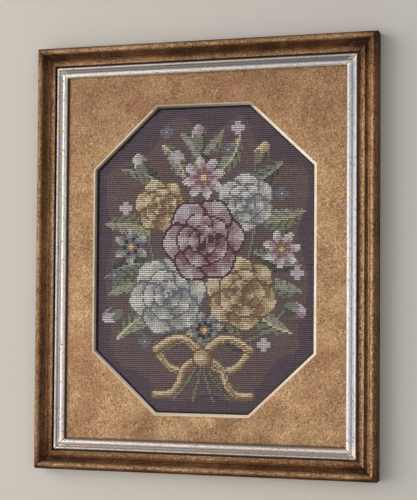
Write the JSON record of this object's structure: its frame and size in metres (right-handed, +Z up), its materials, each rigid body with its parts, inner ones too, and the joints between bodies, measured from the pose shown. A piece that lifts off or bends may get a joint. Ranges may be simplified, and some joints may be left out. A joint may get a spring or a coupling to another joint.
{
  "type": "framed needlepoint picture with moulding, slip and mount board",
  "caption": "Wall picture of wool needlepoint behind an eight-sided gold mount, in a silvered slip and a rubbed gilt wooden moulding.",
  "frame": {"origin": "middle of the flat back face of the top rail, which lies on the wall", "axes": "+Z up, -Y out of the wall towards the viewer, +X to the viewer's right"},
  "size_m": [0.326, 0.019, 0.4],
  "materials": {
    "gilded_moulding": "rubbed gold leaf over red-brown ground, dark in the cove, satin",
    "silvered_slip": "bright silver leaf with small worn dark specks",
    "gold_mount": "speckled gold face, pale core on the window's sloped edge",
    "wool_canvas": "wool tent stitch in rows on single canvas, matte",
    "backing": "plain brown board, matte"
  },
  "bodies": {
    "root": {"moulding_top": "gilded_moulding", "moulding_right": "gilded_moulding", "moulding_bottom": "gilded_moulding", "moulding_left": "gilded_moulding", "slip_top": "silvered_slip", "slip_right": "silvered_slip", "slip_bottom": "silvered_slip", "slip_left": "silvered_slip", "mount_board": "gold_mount", "needlework": "wool_canvas", "backing_board": "backing"}
  },
  "joints": []
}
